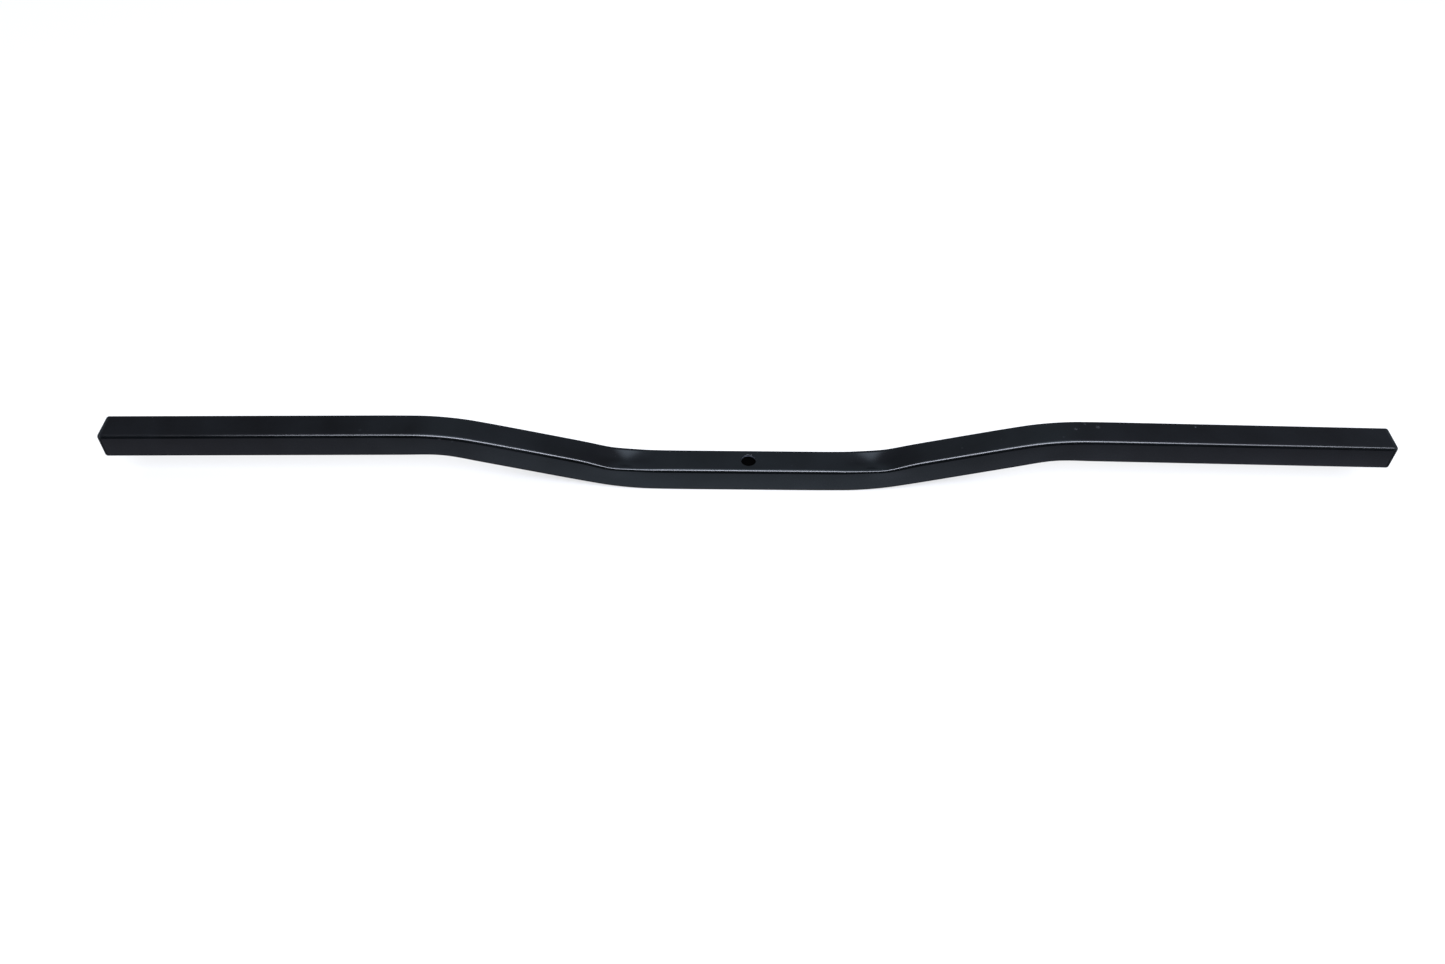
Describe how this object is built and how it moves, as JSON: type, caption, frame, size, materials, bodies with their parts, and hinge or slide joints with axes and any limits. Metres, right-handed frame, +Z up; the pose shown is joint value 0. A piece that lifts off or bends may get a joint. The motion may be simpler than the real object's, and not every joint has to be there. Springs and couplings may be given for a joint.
{
  "type": "bed cargo bar",
  "caption": "Bent square-tube steel bar that spans a cargo bed: a low level middle with one bolt hole, two sloped sections and two long straight arms with plugged ends.",
  "frame": {"origin": "under the bolt hole, on the underside of the level middle section, which the bar stands on", "axes": "+X along the bar, +Y across it, +Z up along the bolt hole, towards the side that the arms rise to"},
  "size_m": [1.3558, 0.0318, 0.0817],
  "materials": {
    "tube_coat": "semi-gloss black powder coat with a fine orange peel",
    "plug_plastic": "fine-grained moulded black plastic"
  },
  "bodies": {
    "root": {"bar_tube": "tube_coat", "end_plug_left": "plug_plastic", "end_plug_right": "plug_plastic"}
  },
  "joints": []
}
